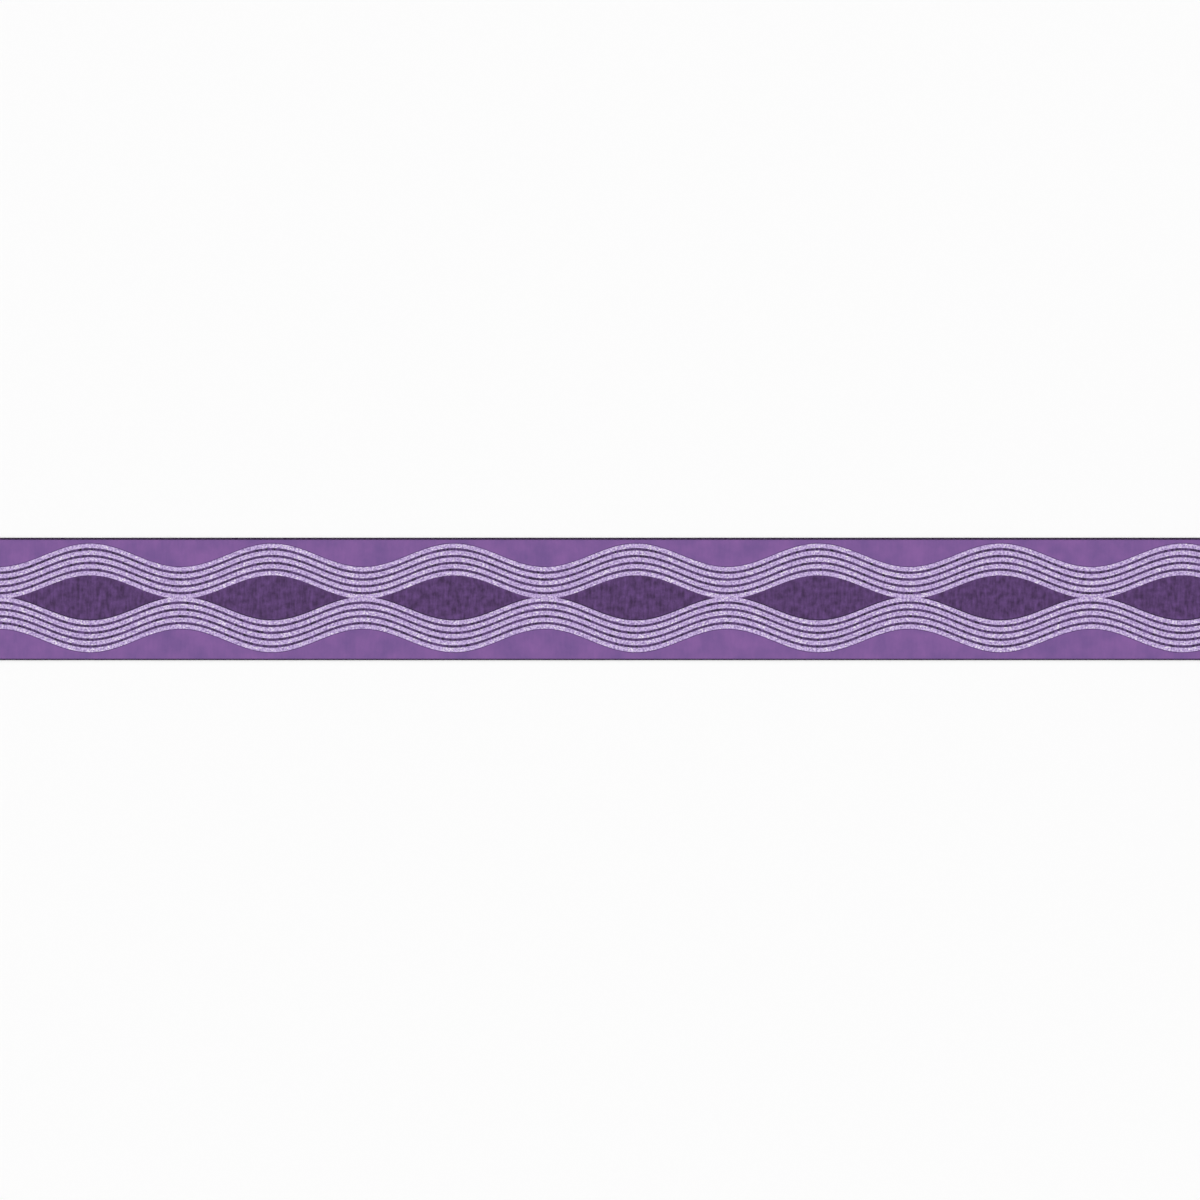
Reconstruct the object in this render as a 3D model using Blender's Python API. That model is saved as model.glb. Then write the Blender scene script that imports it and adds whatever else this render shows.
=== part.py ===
"""Rhythmic gymnastics ribbon wand, laid out in line on the ground with its spare ribbon rolled up.

Frame: +X runs from the stick's butt towards the rolled ribbon, +Z is up. The origin is on the ground,
at the middle of the wand's length and of the ribbon's width.
"""

from math import cos, pi, radians, sin

import bmesh
import bpy
from mathutils import Matrix, Vector

mm = 0.001

# Driving dimensions
stickReach = 601.8 * mm
ribbonReach = 646.8 * mm
axisHeight = 5.0 * mm
gap = 0.3 * mm
fineGap = 0.2 * mm

ribbonWidth = 50.0 * mm
clothThickness = 0.6 * mm
rollRadius = 22.0 * mm
coreRadius = 10.0 * mm
foldBack = 540.0 * mm

tabStart = 36.0 * mm
tabFlatFrom = 8.0 * mm
tabEndRadius = 6.0 * mm
tabThickness = 1.0 * mm
eyeletBore = 2.3 * mm
eyeletBarrel = 2.7 * mm
eyeletFlange = 4.8 * mm
flangeThickness = 0.4 * mm

bowInner = 2.6 * mm
bowOuter = 5.0 * mm
armThickness = 3.0 * mm
baseThickness = 4.2 * mm
slotHalf = 1.3 * mm
pinAlong = 13.6 * mm
pinHeight = 3.7 * mm
pinRadius = 0.6 * mm
baseFace = 18.6 * mm
baseInner = 14.6 * mm

postRadius = 1.0 * mm
postHole = 1.3 * mm
eyeHole = 2.0 * mm
eyeOuter = 3.5 * mm
eyeHalf = 0.9 * mm
collarLength = 0.5 * mm
ringWire = 0.7 * mm
ringRadius = axisHeight - ringWire

ferruleLength = 22.0 * mm
ferruleRadius = 3.5 * mm
noseWall = 2.5 * mm
shaftTipRadius = 2.5 * mm
shaftButtRadius = 4.0 * mm
gripRadius = axisHeight
gripLength = 92.0 * mm
collarGripLength = 8.0 * mm
capLength = 10.0 * mm
capWall = 2.0 * mm

# Places along the wand that follow from those
halfLength = 0.5 * (stickReach + ribbonReach)
eyeletX = stickReach - halfLength
bowX = eyeletX - 0.5 * (bowInner + bowOuter)
baseX = bowX - baseFace
hookEyeX = baseX - gap - collarLength - eyeOuter
ringRightX = hookEyeX - eyeHole + ringWire + fineGap
ringX = ringRightX - ringRadius
tipEyeX = ringX - ringRadius + ringWire + fineGap - eyeHole
noseX = tipEyeX - eyeOuter - collarLength - gap
rollX = halfLength - rollRadius

pivotPlaces = {}


def clearScene():
    for old in list(bpy.data.objects):
        bpy.data.objects.remove(old)


def finish(name, colour, roughness, metallic=0.0):
    made = bpy.data.materials.new(name)
    made.use_nodes = True
    shader = made.node_tree.nodes["Principled BSDF"]
    shader.inputs["Base Color"].default_value = (*colour, 1.0)
    shader.inputs["Roughness"].default_value = roughness
    shader.inputs["Metallic"].default_value = metallic
    return made


def pivot(name, place, parent=None):
    """An empty on a joint's axis, which carries the pieces that turn there."""
    made = bpy.data.objects.new(name, None)
    made.empty_display_size = 5 * mm
    bpy.context.scene.collection.objects.link(made)
    pivotPlaces[name] = Vector(place)
    attach(made, place, parent)
    return made


def attach(piece, place, parent=None):
    piece.parent = parent
    origin = pivotPlaces[parent.name] if parent else Vector()
    piece.location = Vector(place) - origin


def addPiece(name, shape, material, place, parent=None, smooth=True):
    """Makes one sub-part from a bmesh that is drawn about its own place."""
    bmesh.ops.remove_doubles(shape, verts=shape.verts, dist=1e-6)
    bmesh.ops.recalc_face_normals(shape, faces=shape.faces)
    mesh = bpy.data.meshes.new(name)
    shape.to_mesh(mesh)
    shape.free()
    if smooth:
        mesh.shade_smooth()
        mesh.set_sharp_from_angle(angle=radians(35))
    if material:
        mesh.materials.append(material)
    piece = bpy.data.objects.new(name, mesh)
    bpy.context.scene.collection.objects.link(piece)
    attach(piece, place, parent)
    return piece


def combine(piece, operation, name, shape, place, parent=None):
    """Joins a second shape to a piece, or cuts it away."""
    tool = addPiece(name, shape, None, place, parent, smooth=False)
    tool.hide_render = True
    tool.display_type = "WIRE"
    step = piece.modifiers.new(name, "BOOLEAN")
    step.operation = operation
    step.solver = "EXACT"
    step.object = tool


def turned(profile, closed=False, steps=32, about="X"):
    """A shape turned about X, Y or Z through its own origin, from (along, radius) points."""
    shape = bmesh.new()
    points = [shape.verts.new((along, 0.0, radius)) for along, radius in profile]
    edges = [shape.edges.new(pair) for pair in zip(points, points[1:])]
    if closed:
        edges.append(shape.edges.new((points[-1], points[0])))
    bmesh.ops.spin(
        shape, geom=points + edges, cent=(0, 0, 0), axis=(1, 0, 0), angle=2 * pi, steps=steps, use_merge=True
    )
    if about == "Z":
        bmesh.ops.rotate(shape, verts=shape.verts, matrix=Matrix.Rotation(-pi / 2, 3, "Y"))
    if about == "Y":
        bmesh.ops.rotate(shape, verts=shape.verts, matrix=Matrix.Rotation(pi / 2, 3, "Z"))
    return shape


def rod(length, radius, about="X", steps=20):
    """A plain cylinder about its own middle."""
    half = 0.5 * length
    return turned([(-half, 0.0), (-half, radius), (half, radius), (half, 0.0)], steps=steps, about=about)


def arc(centreAlong, centreUp, radius, start, end, steps):
    """Points round part of a circle, in degrees from the +along direction towards +up."""
    angles = [radians(start + (end - start) * i / steps) for i in range(steps + 1)]
    return [(centreAlong + radius * cos(a), centreUp + radius * sin(a)) for a in angles]


def plate(outline, thickness, offset=0.0):
    """An outline of (back, up) points, back being -X, made a plate that lies across Y."""
    shape = bmesh.new()
    low = offset - 0.5 * thickness
    corners = [shape.verts.new((-back, low, up)) for back, up in outline]
    face = shape.faces.new(corners)
    grown = bmesh.ops.extrude_face_region(shape, geom=[face])
    moved = [part for part in grown["geom"] if isinstance(part, bmesh.types.BMVert)]
    bmesh.ops.translate(shape, verts=moved, vec=(0.0, thickness, 0.0))
    return shape


def block(lengthX, lengthY, lengthZ):
    shape = bmesh.new()
    bmesh.ops.create_cube(shape, size=1.0)
    bmesh.ops.scale(shape, verts=shape.verts, vec=(lengthX, lengthY, lengthZ))
    return shape


def addRibbon(satin):
    """The flat run, the doubled layer under it and the roll of spare ribbon."""
    runStart = eyeletX + tabStart + gap
    runLow = clothThickness + gap
    touchOffset = (2 * rollRadius * (runLow + clothThickness)) ** 0.5
    runEnd = rollX - touchOffset - gap
    run = block(runEnd - runStart, ribbonWidth, clothThickness)
    runPlace = (0.5 * (runStart + runEnd), 0, runLow + 0.5 * clothThickness)
    addPiece("ribbon_run", run, satin, runPlace, smooth=False)

    doubled = block(foldBack, ribbonWidth, clothThickness)
    doubledPlace = (runStart + 0.5 * foldBack, 0, 0.5 * clothThickness)
    addPiece("ribbon_doubling", doubled, satin, doubledPlace, smooth=False)

    half = 0.5 * ribbonWidth
    section = [(-half, coreRadius), (-half, rollRadius), (half, rollRadius), (half, coreRadius)]
    roll = turned(section, closed=True, steps=64, about="Y")
    addPiece("ribbon_roll", roll, satin, (rollX, 0, rollRadius))


def tabHalfWidth(x):
    """Half the pointed end's width, at x from the eyelet: straight sides into a round tip."""
    if x < 0:
        return max(tabEndRadius**2 - x**2, 0.0) ** 0.5
    return tabEndRadius + (0.5 * ribbonWidth - tabEndRadius) * x / tabStart


def tabMiddle(x):
    """Height of the tab's middle surface, which rises from the ground to the wand's axis."""
    run = min(max((tabStart - x) / (tabStart - tabFlatFrom), 0.0), 1.0)
    eased = run * run * (3 - 2 * run)
    low = 0.5 * (2 * clothThickness + gap)
    return low + (axisHeight - low) * eased


def tabHalfThickness(x):
    share = min(max(x / tabStart, 0.0), 1.0)
    return 0.5 * (tabThickness + (2 * clothThickness + gap - tabThickness) * share)


def addTab(satin):
    """The folded end of the ribbon, as one closed plate with the eyelet's hole."""
    stations = 22
    tipSteps = 6
    shape = bmesh.new()
    xs = [tabStart * (1 - i / stations) for i in range(stations + 1)]
    xs += [-tabEndRadius * sin(radians(82) * i / tipSteps) for i in range(1, tipSteps + 1)]
    rows = []
    for x in xs:
        wide, middle, thick = tabHalfWidth(x), tabMiddle(x), tabHalfThickness(x)
        corners = [(wide, thick), (wide, -thick), (-wide, -thick), (-wide, thick)]
        rows.append([shape.verts.new((x, y, middle + z)) for y, z in corners])
    for row, following in zip(rows, rows[1:]):
        for i in range(4):
            j = (i + 1) % 4
            shape.faces.new((row[i], row[j], following[j], following[i]))
    shape.faces.new(rows[0])
    shape.faces.new(rows[-1])
    tab = addPiece("end_tab", shape, satin, (eyeletX, 0, 0), smooth=False)
    hole = rod(4 * mm, eyeletBarrel + fineGap, about="Z", steps=24)
    combine(tab, "DIFFERENCE", "eyelet_hole", hole, (eyeletX, 0, axisHeight))


def addEyelet(metal):
    """A flanged barrel and the washer that it is set against."""
    reach = 0.5 * tabThickness + 0.1 * mm
    top = reach + flangeThickness
    barrel = [
        (-top, eyeletBore),
        (-top, eyeletBarrel),
        (reach, eyeletBarrel),
        (reach, eyeletFlange),
        (top - 0.15 * mm, eyeletFlange),
        (top, eyeletFlange - 0.2 * mm),
        (top, eyeletBore + 0.2 * mm),
        (top - 0.2 * mm, eyeletBore),
    ]
    place = (eyeletX, 0, axisHeight)
    addPiece("eyelet", turned(barrel, closed=True, about="Z"), metal, place)
    inner = eyeletBarrel + fineGap
    washer = [(-top, inner), (-top, eyeletFlange - 0.2 * mm), (0.15 * mm - top, eyeletFlange)]
    washer += [(-reach, eyeletFlange), (-reach, inner)]
    addPiece("eyelet_washer", turned(washer, closed=True, about="Z"), metal, place)


def hookArmOutline():
    """Spine, bow and nose of the hook, back from the centre of its bow."""
    outer = arc(0, 0, bowOuter, 90, 270, 16)
    inner = arc(0, 0, bowInner, 270, 90, 16)
    nose = 3.0 * mm
    spineEnd = baseInner + 1.0 * mm
    outerSide = [(nose, bowOuter)] + outer + [(spineEnd, -bowOuter)]
    return outerSide + [(spineEnd, -bowInner)] + inner + [(nose, bowInner)]


def hookBaseOutline():
    """The hook's base: swivel boss at the back and two cheeks for the gate's pin on top."""
    back = arc(baseFace - 2.6 * mm, 0, bowOuter, -90, -58, 3) + arc(baseFace - 2.6 * mm, 0, bowOuter, 58, 90, 3)
    cheek = arc(pinAlong, pinHeight, 1.45 * mm, 115, 235, 6)
    foot = [(baseInner, 2.2 * mm), (baseInner, -bowInner), (baseInner - 1.5 * mm, -bowOuter)]
    return back + cheek + foot


def addHook(metal, steel, hookPivot, gatePivot):
    """The snap hook's body, its sprung gate, and the pin and spring that it turns on."""
    bow = (bowX, 0, axisHeight)
    pin = (bowX - pinAlong, 0, axisHeight + pinHeight)
    body = addPiece("hook_body", plate(hookArmOutline(), armThickness), metal, bow, hookPivot)
    combine(body, "UNION", "hook_base", plate(hookBaseOutline(), baseThickness), bow, hookPivot)
    postPlace = (bowX - 0.5 * (baseFace + baseInner), 0, axisHeight)
    combine(body, "DIFFERENCE", "post_hole", rod(8 * mm, postHole), postPlace, hookPivot)
    slot = [(11 * mm, 2.25 * mm), (15.2 * mm, 2.25 * mm), (15.2 * mm, 6 * mm), (11 * mm, 6 * mm)]
    combine(body, "DIFFERENCE", "gate_slot", plate(slot, 2 * slotHalf), bow, hookPivot)
    pinHole = pinRadius + fineGap
    combine(body, "DIFFERENCE", "pin_hole", rod(8 * mm, pinHole, about="Y"), pin, hookPivot)

    bar = [(3.3 * mm, 2.7 * mm), (11.4 * mm, 2.7 * mm), (11.4 * mm, 4.9 * mm), (10.6 * mm, 5.1 * mm)]
    bar += [(9.8 * mm, 6.4 * mm), (8.6 * mm, 6.4 * mm), (7.2 * mm, 5.0 * mm), (3.3 * mm, 5.0 * mm)]
    gate = addPiece("hook_gate", plate(bar, armThickness), metal, bow, gatePivot)
    knuckle = [(10.8 * mm, 2.75 * mm)] + arc(pinAlong, pinHeight, 1.15 * mm, -60, 80, 8) + [(10.8 * mm, 4.8 * mm)]
    combine(gate, "UNION", "gate_knuckle", plate(knuckle, 1.2 * mm, -0.4 * mm), bow, gatePivot)
    combine(gate, "DIFFERENCE", "gate_bore", rod(8 * mm, pinHole, about="Y"), pin, gatePivot)

    addPiece("gate_pin", rod(baseThickness, pinRadius, about="Y"), steel, pin, hookPivot)
    addSpring(steel, pin, hookPivot)


def addSpring(steel, pin, hookPivot):
    """The gate's torsion spring, wound round the pin beside the gate."""
    wire = 0.17 * mm
    coilRadius = pinRadius + fineGap + wire
    turns, perTurn = 1.6, 14
    start, pitch = 0.45 * mm, 0.42 * mm
    curve = bpy.data.curves.new("gate_spring", "CURVE")
    curve.dimensions = "3D"
    curve.bevel_depth = wire
    curve.bevel_resolution = 1
    curve.use_fill_caps = True
    count = int(turns * perTurn) + 1
    spline = curve.splines.new("POLY")
    spline.points.add(count - 1)
    for i in range(count):
        turn = i / perTurn
        angle = 2 * pi * turn
        y = start + pitch * turn
        spline.points[i].co = (coilRadius * cos(angle), y, coilRadius * sin(angle), 1)
    curve.materials.append(steel)
    spring = bpy.data.objects.new("gate_spring", curve)
    bpy.context.scene.collection.objects.link(spring)
    attach(spring, pin, hookPivot)


def swivelEye(name, metal, eyeX, faceX, headX, headLength, headRadius, parent):
    """An eye on a headed stem that points along X from the eye to its captive head."""
    away = 1 if headX > eyeX else -1
    collarFrom = eyeX + away * (eyeOuter - 0.6 * mm)
    headEnd = headX + away * headLength
    profile = [
        (collarFrom, 0.0),
        (collarFrom, 1.3 * mm),
        (faceX - away * gap - away * collarLength, 2.0 * mm),
        (faceX - away * gap, 2.0 * mm),
        (faceX - away * gap, postRadius),
        (headX, postRadius),
        (headX, headRadius),
        (headEnd - away * 0.3 * mm, headRadius),
        (headEnd, headRadius - 0.4 * mm),
        (headEnd, 0.0),
    ]
    stem = turned([(x - eyeX, radius) for x, radius in profile], steps=24)
    place = (eyeX, 0, axisHeight)
    eye = addPiece(name, stem, metal, place, parent)
    chamfer = 0.35 * mm
    loop = [
        (-eyeHalf, eyeHole + chamfer),
        (-eyeHalf, eyeOuter - chamfer),
        (chamfer - eyeHalf, eyeOuter),
        (eyeHalf - chamfer, eyeOuter),
        (eyeHalf, eyeOuter - chamfer),
        (eyeHalf, eyeHole + chamfer),
        (eyeHalf - chamfer, eyeHole),
        (chamfer - eyeHalf, eyeHole),
    ]
    combine(eye, "UNION", name + "_loop", turned(loop, closed=True, steps=28, about="Z"), place, parent)


def addRing(metal, ringPivot):
    """The ring that links the two eyes, standing upright between them."""
    section = arc(0, ringRadius, ringWire, 0, 330, 11)
    ring = turned(section, closed=True, steps=36, about="Y")
    addPiece("link_ring", ring, metal, (ringX, 0, axisHeight), ringPivot)


def addFerrule(metal, nylon, spinPivot):
    """The metal tip over the stick's end, with the pocket that holds the swivel's head."""
    bore = shaftTipRadius + fineGap
    profile = [
        (0.0, postHole),
        (0.0, ferruleRadius - 1.0 * mm),
        (-1.0 * mm, ferruleRadius),
        (0.5 * mm - ferruleLength, ferruleRadius),
        (-ferruleLength, ferruleRadius - 0.4 * mm),
        (-ferruleLength, bore),
        (-noseWall, bore),
        (-noseWall, postHole),
    ]
    place = (noseX, 0, axisHeight)
    addPiece("tip_ferrule", turned(profile, closed=True), metal, place, spinPivot)
    inner, outer, thick = postHole, 2.3 * mm, 0.5 * mm
    section = [(0.0, inner), (0.0, outer), (-thick, outer), (-thick, inner)]
    washer = turned(section, closed=True, steps=24)
    addPiece("swivel_washer", washer, nylon, (noseX - noseWall - gap, 0, axisHeight), spinPivot)


def addStick(fibre, rubber, plastic, spinPivot):
    """The tapered rod, its grip sleeve with a collar in front, and the cap on its butt."""
    buttX = -halfLength
    shaftStart = buttX + capWall + gap
    shaftEnd = noseX - noseWall - 3.2 * mm
    taperFrom = buttX + 150 * mm
    ferruleEnd = noseX - ferruleLength
    profile = [
        (shaftStart, 0.0),
        (shaftStart, shaftButtRadius - 0.4 * mm),
        (shaftStart + 0.6 * mm, shaftButtRadius),
        (taperFrom, shaftButtRadius),
        (ferruleEnd - 2 * mm, shaftTipRadius + 0.1 * mm),
        (ferruleEnd, shaftTipRadius),
        (shaftEnd, shaftTipRadius),
        (shaftEnd, 0.0),
    ]
    line = (0, 0, axisHeight)
    addPiece("stick_shaft", turned(profile), fibre, line, spinPivot)

    bore = shaftButtRadius + fineGap
    sleeveFrom = buttX + capLength + gap
    sleeveTo = sleeveFrom + gripLength
    edge = 0.6 * mm
    sleeve = [
        (sleeveFrom, bore),
        (sleeveFrom, gripRadius - edge),
        (sleeveFrom + edge, gripRadius),
        (sleeveTo - edge, gripRadius),
        (sleeveTo, gripRadius - edge),
        (sleeveTo, bore),
    ]
    addPiece("grip_sleeve", turned(sleeve, closed=True), rubber, line, spinPivot)
    collarFrom = sleeveTo + gap
    collarTo = collarFrom + collarGripLength
    collar = [
        (collarFrom, bore),
        (collarFrom, gripRadius - 0.3 * mm),
        (collarFrom + 2 * mm, gripRadius - 0.3 * mm),
        (collarTo, bore + 0.3 * mm),
        (collarTo, bore),
    ]
    addPiece("grip_collar", turned(collar, closed=True), plastic, line, spinPivot)
    cap = [
        (buttX, 0.0),
        (buttX, gripRadius - 0.8 * mm),
        (buttX + 0.8 * mm, gripRadius),
        (buttX + capLength, gripRadius),
        (buttX + capLength, bore),
        (buttX + capWall, bore),
        (buttX + capWall, 0.0),
    ]
    addPiece("butt_cap", turned(cap), plastic, line, spinPivot)


def build():
    clearScene()
    satin = finish("satin", (0.21, 0.11, 0.31), 0.45)
    nickel = finish("nickel_plate", (0.66, 0.62, 0.57), 0.22, 1.0)
    steel = finish("spring_steel", (0.50, 0.50, 0.52), 0.30, 1.0)
    nylon = finish("nylon", (0.80, 0.80, 0.78), 0.50)
    fibre = finish("glass_fibre", (0.86, 0.84, 0.88), 0.28)
    rubber = finish("rubber", (0.12, 0.06, 0.19), 0.75)
    plastic = finish("cap_plastic", (0.10, 0.05, 0.16), 0.45)

    axisPoint = [(x, 0, axisHeight) for x in (bowX, baseX, ringRightX, ringX, noseX)]
    hookPivot = pivot("hook_tilt_axis", axisPoint[0])
    gateAt = (bowX - pinAlong, 0, axisHeight + pinHeight)
    gatePivot = pivot("gate_axis", gateAt, hookPivot)
    swivelPivot = pivot("hook_swivel_axis", axisPoint[1], hookPivot)
    ringPivot = pivot("ring_swing_axis", axisPoint[2], swivelPivot)
    liftPivot = pivot("stick_lift_axis", axisPoint[3], ringPivot)
    spinPivot = pivot("stick_spin_axis", axisPoint[4], liftPivot)

    addRibbon(satin)
    addTab(satin)
    addEyelet(nickel)
    addHook(nickel, steel, hookPivot, gatePivot)
    hookHeadX = bowX - baseInner + gap
    swivelEye("hook_swivel_eye", nickel, hookEyeX, baseX, hookHeadX, 0.9 * mm, 1.8 * mm, swivelPivot)
    addRing(nickel, ringPivot)
    tipHeadX = noseX - noseWall - 2 * gap - 0.5 * mm
    swivelEye("tip_swivel_eye", nickel, tipEyeX, noseX, tipHeadX, 1.2 * mm, 2.1 * mm, liftPivot)
    addFerrule(nickel, nylon, spinPivot)
    addStick(fibre, rubber, plastic, spinPivot)


build()
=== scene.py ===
from math import asin, atan2, cos, pi, radians, sin, sqrt, tau

import bmesh
import bpy
from mathutils import Matrix, Vector, noise


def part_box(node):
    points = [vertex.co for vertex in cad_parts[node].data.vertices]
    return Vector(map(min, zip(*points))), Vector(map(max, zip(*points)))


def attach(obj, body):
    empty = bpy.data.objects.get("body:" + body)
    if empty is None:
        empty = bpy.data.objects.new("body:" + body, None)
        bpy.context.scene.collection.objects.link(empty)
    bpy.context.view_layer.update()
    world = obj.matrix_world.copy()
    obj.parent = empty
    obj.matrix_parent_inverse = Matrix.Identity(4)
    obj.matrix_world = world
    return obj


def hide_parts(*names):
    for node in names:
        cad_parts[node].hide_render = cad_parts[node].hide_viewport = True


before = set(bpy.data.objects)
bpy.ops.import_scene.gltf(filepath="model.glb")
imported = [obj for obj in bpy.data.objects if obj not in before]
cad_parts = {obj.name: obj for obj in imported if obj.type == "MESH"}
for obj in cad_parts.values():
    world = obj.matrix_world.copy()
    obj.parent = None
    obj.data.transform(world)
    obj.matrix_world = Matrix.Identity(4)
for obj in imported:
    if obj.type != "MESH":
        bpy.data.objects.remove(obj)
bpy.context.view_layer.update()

mm = 0.001

# places, all taken from the frame
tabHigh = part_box("end_tab")[1]
rollLow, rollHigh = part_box("ribbon_roll")
eyeletLow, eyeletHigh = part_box("eyelet")
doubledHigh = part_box("ribbon_doubling")[1]
ringLow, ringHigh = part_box("link_ring")
shaftLow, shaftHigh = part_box("stick_shaft")
sleeveLow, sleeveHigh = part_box("grip_sleeve")
collarLow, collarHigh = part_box("grip_collar")
capLow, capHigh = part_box("butt_cap")
ferruleLow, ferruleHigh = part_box("tip_ferrule")
pinLow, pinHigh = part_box("gate_pin")

ribbonStart = tabHigh.x  # where the pointed end has become the full width
rollMiddle = 0.5 * (rollLow + rollHigh)
eyeletMiddle = 0.5 * (eyeletLow + eyeletHigh)
axisHeight = eyeletMiddle.z  # the stick and its hardware lie along this height
flatLength = rollMiddle.x - ribbonStart
doubledLength = doubledHigh.x - ribbonStart


# small tools

def linear(hexColour):
    shares = [int(hexColour[i:i + 2], 16) / 255 for i in (1, 3, 5)]
    return (*[s / 12.92 if s <= 0.04045 else ((s + 0.055) / 1.055) ** 2.4 for s in shares], 1.0)


def addNode(tree, kind, values=None, links=None, stops=None, **settings):
    made = tree.nodes.new("ShaderNode" + kind)
    for name, value in settings.items():
        setattr(made, name, value)
    for socket, value in (values or {}).items():
        made.inputs[socket].default_value = value
    for socket, source in (links or {}).items():
        tree.links.new(source, made.inputs[socket])
    if stops:  # a colour ramp's places, with colours or plain shares of white
        for place, _ in stops[2:]:
            made.color_ramp.elements.new(place)
        for element, (place, colour) in zip(made.color_ramp.elements, sorted(stops)):
            element.position = place
            element.color = linear(colour) if isinstance(colour, str) else (colour, colour, colour, 1)
    return made


def startMaterial(name, **values):
    made = bpy.data.materials.new(name)
    made.use_nodes = True
    tree = made.node_tree
    shader = tree.nodes["Principled BSDF"]
    for socket, value in values.items():
        shader.inputs[socket.replace("_", " ")].default_value = value
    return made, tree, shader


def addPiece(name, shape, materials, body, nodes=(), smooth=40):
    mesh = bpy.data.meshes.new(name)
    shape.to_mesh(mesh)
    shape.free()
    for material in materials:
        mesh.materials.append(material)
    mesh.shade_smooth()
    if smooth < 180:
        mesh.set_sharp_from_angle(angle=radians(smooth))
    piece = bpy.data.objects.new(name, mesh)
    bpy.context.scene.collection.objects.link(piece)
    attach(piece, body)
    if nodes:
        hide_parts(*nodes)
    return piece


def tidied(shape):
    bmesh.ops.remove_doubles(shape, verts=shape.verts, dist=0.001 * mm)
    bmesh.ops.recalc_face_normals(shape, faces=shape.faces)
    return shape


def together(*shapes):
    whole = bmesh.new()
    for shape in shapes:
        part = bpy.data.meshes.new("part")
        shape.to_mesh(part)
        shape.free()
        whole.from_mesh(part)
        bpy.data.meshes.remove(part)
    return whole


def turned(points, place, about="X", steps=48, closed=False):
    # a shape turned about its own axis, from (along, radius) points in mm, then put in its place
    shape = bmesh.new()
    verts = [shape.verts.new((along * mm, 0.0, radius * mm)) for along, radius in points]
    edges = [shape.edges.new(pair) for pair in zip(verts, verts[1:])]
    if closed:
        edges.append(shape.edges.new((verts[-1], verts[0])))
    bmesh.ops.spin(shape, geom=verts + edges, cent=(0, 0, 0), axis=(1, 0, 0), angle=tau, steps=steps,
                   use_merge=True)
    tidied(shape)
    if about == "Z":
        bmesh.ops.rotate(shape, verts=shape.verts, matrix=Matrix.Rotation(-pi / 2, 3, "Y"))
    bmesh.ops.translate(shape, verts=shape.verts, vec=place)
    return shape


def roundCorner(along, radius, size, start, end, steps=4):
    # points round a quarter of a circle about (along, radius)
    turns = [radians(start + (end - start) * i / steps) for i in range(steps + 1)]
    return [(along + size * cos(t), radius + size * sin(t)) for t in turns]


def roundedSection(half, tall, size, steps=4):
    # a closed outline with a round corner about each of (half, tall), (-half, tall) and so on
    centres = ((half, tall), (-half, tall), (-half, -tall), (half, -tall))
    return [point for i, (u, v) in enumerate(centres)
            for point in roundCorner(u, v, size, 90 * i, 90 * i + 90, steps)]


def ease(share):
    share = min(max(share, 0.0), 1.0)
    return share * share * (3 - 2 * share)


# ribbon: one strip of printed satin, flat on its doubled end, then rolled up

ribbon = {
    "width": 50.0 * mm,
    "length": 6.0,  # full length, from the eyelet to the free end
    "thickness": 0.2 * mm,
    "overDoubled": 0.36 * mm,  # middle of the cloth where it lies on its doubled layer
    "settle": 14.0 * mm,  # over which it comes down to the ground past that layer
    "ripple": 0.05 * mm,  # how unevenly it lies on the doubled layer
    "step": 1.5 * mm,  # between the cloth's columns where it shows
    "underStep": 2.0 * mm,
    "innerStep": 2.4 * mm,
    "underShift": 0.25 * mm,  # the doubled layer lies this far to one side
    "outerTurns": 1.15,  # turns of the roll that carry the pattern outside
    "wander": 0.3 * mm,  # how unevenly the turns lie over each other
    "core": 10.1 * mm,  # radius left open in the middle of the roll
}

pattern = {
    "period": 74.8 * mm,
    "phase": 14.84 * mm,  # from the middle of the shown stretch to a lens
    "upperMiddle": 11.53 * mm,
    "upperSwing": 4.83 * mm,
    "lowerMiddle": -10.39 * mm,
    "lowerSwing": 4.82 * mm,
    "lines": 5,
    "pitch": 2.8 * mm,
    "line": 1.73 * mm,
    "outline": 0.4 * mm,
    # width of the painted shade along the lens's lower edge
    "shade": 0.55 * mm,
    "edge": 0.6 * mm,
    "relief": 0.06 * mm,
}

shown = {
    "width": 0.493,  # metres of ribbon across the view
    "margin": 14.4 * mm,  # from the pointed end to the view's side
    "rise": 0.29 * mm,  # the ribbon's middle lies this far above the view's
}
shownMiddle = ribbonStart + shown["margin"] + 0.5 * shown["width"]

rollOuter = 0.5 * (rollHigh.z - rollLow.z) - 0.5 * ribbon["thickness"]
rolledLength = ribbon["length"] - flatLength - (ribbonStart - eyeletMiddle.x)
rollPitch = pi * (rollOuter**2 - ribbon["core"]**2) / rolledLength  # room for each turn


def turnAt(rolled):
    # angle wound by a length of ribbon that has gone into the spiral
    return (rollOuter - sqrt(max(rollOuter**2 - rollPitch * rolled / pi, 0.0))) * tau / rollPitch


def ribbonPoint(along, across, lift):
    # a point of the cloth: along from the pointed end, across its width, lift towards its upper face
    if along <= flatLength:
        onDoubled = ease((doubledHigh.x + ribbon["settle"] - ribbonStart - along) / ribbon["settle"])
        height = 0.5 * ribbon["thickness"] + (ribbon["overDoubled"] - 0.5 * ribbon["thickness"]) * onDoubled
        swell = noise.noise(Vector((along / (38 * mm), across / (24 * mm), 0.3)))
        fade = ease(along / (20 * mm)) * onDoubled
        return Vector((ribbonStart + along, across, height + lift + ribbon["ripple"] * swell * fade))
    angle = turnAt(along - flatLength)
    turn = angle / tau
    radius = rollOuter - rollPitch * turn - lift
    slip = ribbon["wander"] * min(turn, 1.0) * (sin(2.4 * turn) + 0.6 * sin(5.3 * turn + 1.0))
    return Vector((rollMiddle.x + radius * sin(angle), across + slip, rollMiddle.z - radius * cos(angle)))


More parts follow.
